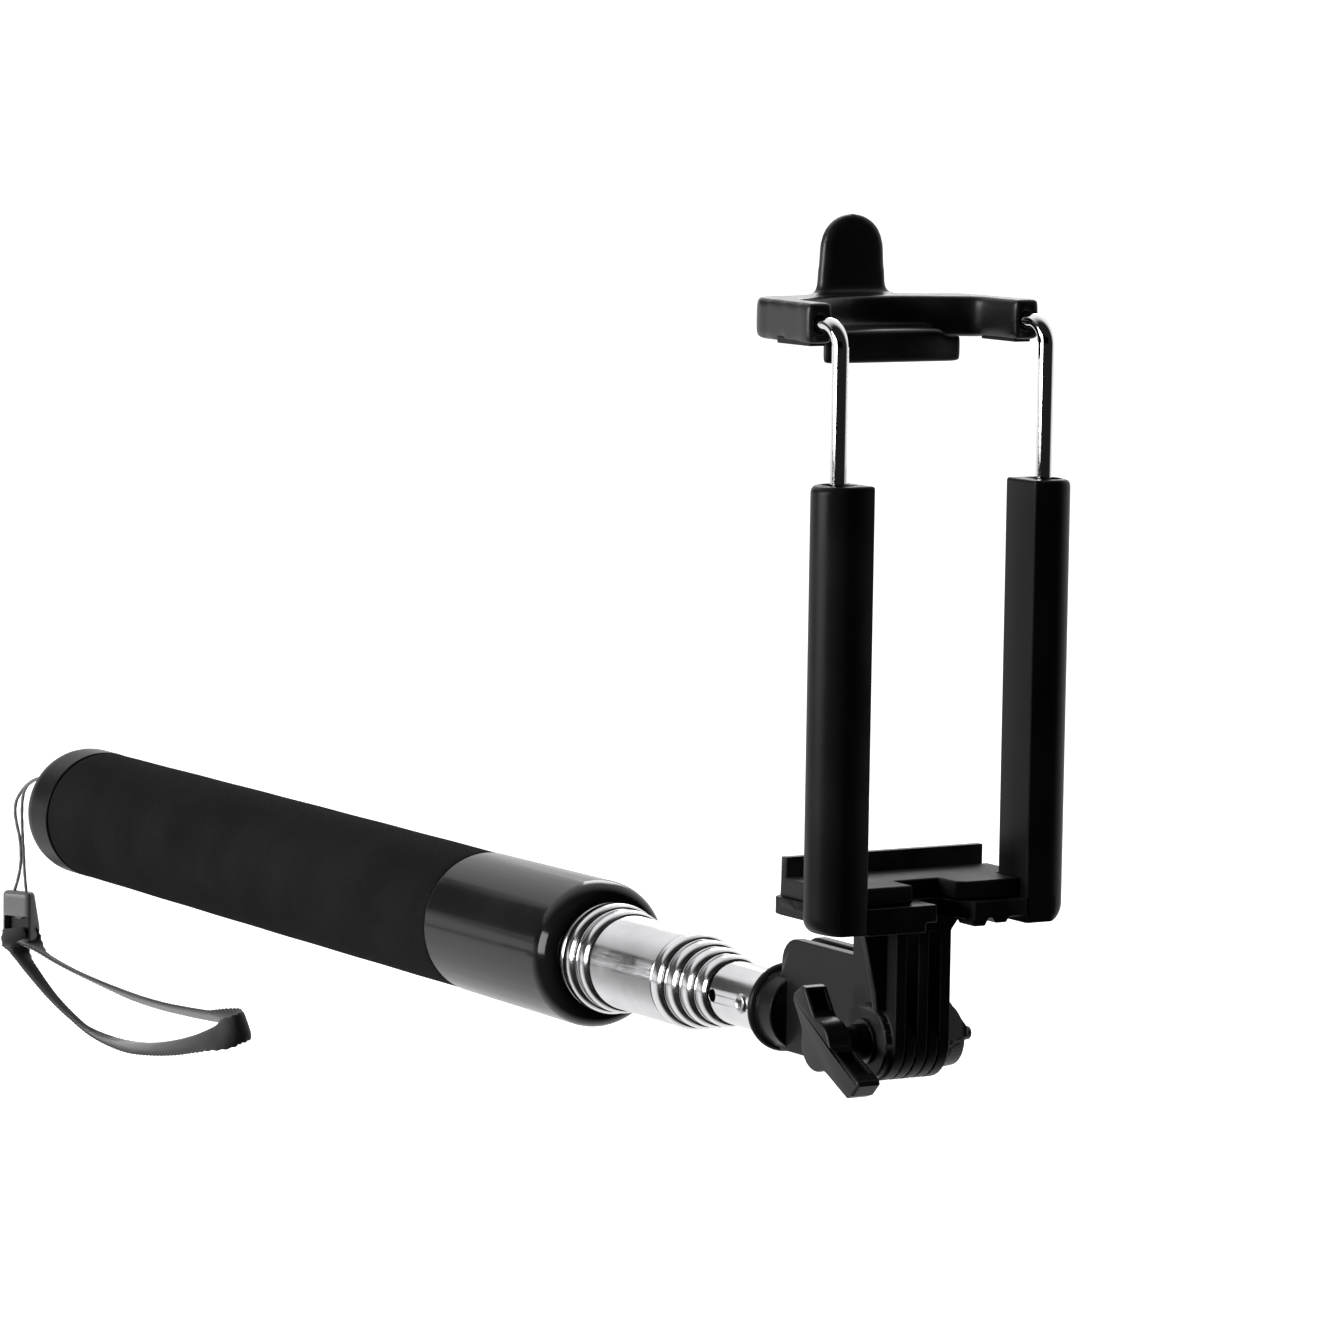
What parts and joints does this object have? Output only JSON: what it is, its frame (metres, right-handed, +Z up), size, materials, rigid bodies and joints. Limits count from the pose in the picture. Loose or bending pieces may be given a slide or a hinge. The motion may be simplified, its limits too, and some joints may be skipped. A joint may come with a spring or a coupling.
{
  "type": "selfie stick",
  "caption": "Telescopic selfie stick with a foam grip and wrist strap, a tilting fork head with a winged knob, and a sprung clamp that holds a phone upright.",
  "frame": {"origin": "middle of the foam grip, on the stick's axis", "axes": "+X along the stick from the butt to the head, +Z up along the clamp, Y across the clamp and along its tilt axis"},
  "size_m": [0.3127, 0.0438, 0.1609],
  "materials": {
    "foam": "closed-cell foam, satin",
    "gloss_black": "polished",
    "steel_tube": "polished, fine turned grain",
    "core_metal": "plain",
    "nylon_ring": "natural nylon",
    "black_plastic": "satin moulded",
    "knob_plastic": "satin moulded",
    "soft_jaw": "soft satin",
    "pad_rubber": "matt",
    "chrome_rod": "polished",
    "plain_steel": "zinc plated",
    "dark_steel": "blackened",
    "strap_cord": "braided",
    "strap_webbing": "knitted",
    "lock_plastic": "satin"
  },
  "bodies": {
    "handle": {"grip_core": "core_metal", "foam_grip": "foam", "end_cap": "black_plastic", "anchor_pin": "plain_steel", "front_collar": "gloss_black", "tube_1": "steel_tube", "strap_string": "strap_cord", "strap_lock": "lock_plastic", "strap_webbing": "strap_webbing"},
    "twist_ring": {"tube_2_ring": "nylon_ring"},
    "tube_2": {"tube_2": "steel_tube"},
    "tube_3": {"tube_3": "steel_tube", "tube_3_ring": "nylon_ring"},
    "tube_4": {"tube_4": "steel_tube", "tube_4_ring": "nylon_ring"},
    "tube_5": {"tube_5": "steel_tube", "tube_5_ring": "nylon_ring"},
    "tube_6": {"tube_6": "steel_tube", "tube_6_ring": "nylon_ring"},
    "tube_7": {"tube_7": "steel_tube", "tube_7_ring": "nylon_ring", "head_fork": "black_plastic", "head_rivet": "plain_steel"},
    "clamp": {"clamp_base": "black_plastic", "left_post": "black_plastic", "right_post": "black_plastic", "left_rod_guide": "black_plastic", "right_rod_guide": "black_plastic", "lower_pad": "pad_rubber", "hinge_nut": "dark_steel", "left_spring": "plain_steel", "right_spring": "plain_steel"},
    "knob": {"hinge_bolt": "dark_steel", "knob_washer": "dark_steel", "wing_knob": "knob_plastic"},
    "upper_jaw": {"upper_jaw": "soft_jaw", "jaw_pads": "pad_rubber", "left_rod": "chrome_rod", "right_rod": "chrome_rod", "left_rod_stop": "plain_steel", "right_rod_stop": "plain_steel"}
  },
  "joints": [
    {"name": "tube_2_slide", "type": "slide", "parent": "handle", "child": "twist_ring", "axis": [1, 0, 0], "range_m": [0, 0.1365]},
    {"name": "stick_twist", "type": "hinge", "parent": "twist_ring", "child": "tube_2", "pos_m": [0, 0, 0], "axis": [1, 0, 0], "continuous": true},
    {"name": "tube_3_slide", "type": "slide", "parent": "tube_2", "child": "tube_3", "axis": [1, 0, 0], "range_m": [-0.0184, 0.1215]},
    {"name": "tube_4_slide", "type": "slide", "parent": "tube_3", "child": "tube_4", "axis": [1, 0, 0], "range_m": [0, 0.143]},
    {"name": "tube_5_slide", "type": "slide", "parent": "tube_4", "child": "tube_5", "axis": [1, 0, 0], "range_m": [0, 0.1465]},
    {"name": "tube_6_slide", "type": "slide", "parent": "tube_5", "child": "tube_6", "axis": [1, 0, 0], "range_m": [0, 0.15]},
    {"name": "tube_7_slide", "type": "slide", "parent": "tube_6", "child": "tube_7", "axis": [1, 0, 0], "range_m": [0, 0.1535]},
    {"name": "clamp_tilt", "type": "hinge", "parent": "tube_7", "child": "clamp", "pos_m": [0.198, 0, 0], "axis": [0, 1, 0], "range_deg": [-28, 180]},
    {"name": "knob_turn", "type": "hinge", "parent": "clamp", "child": "knob", "pos_m": [0.198, 0, 0], "axis": [0, 1, 0], "range_deg": [-540, 0]},
    {"name": "jaw_lift", "type": "slide", "parent": "clamp", "child": "upper_jaw", "axis": [0, 0, 1], "range_m": [-0.0195, 0.0065], "stiffness_N_per_m": 150, "deforming": ["left_spring", "right_spring"]}
  ]
}
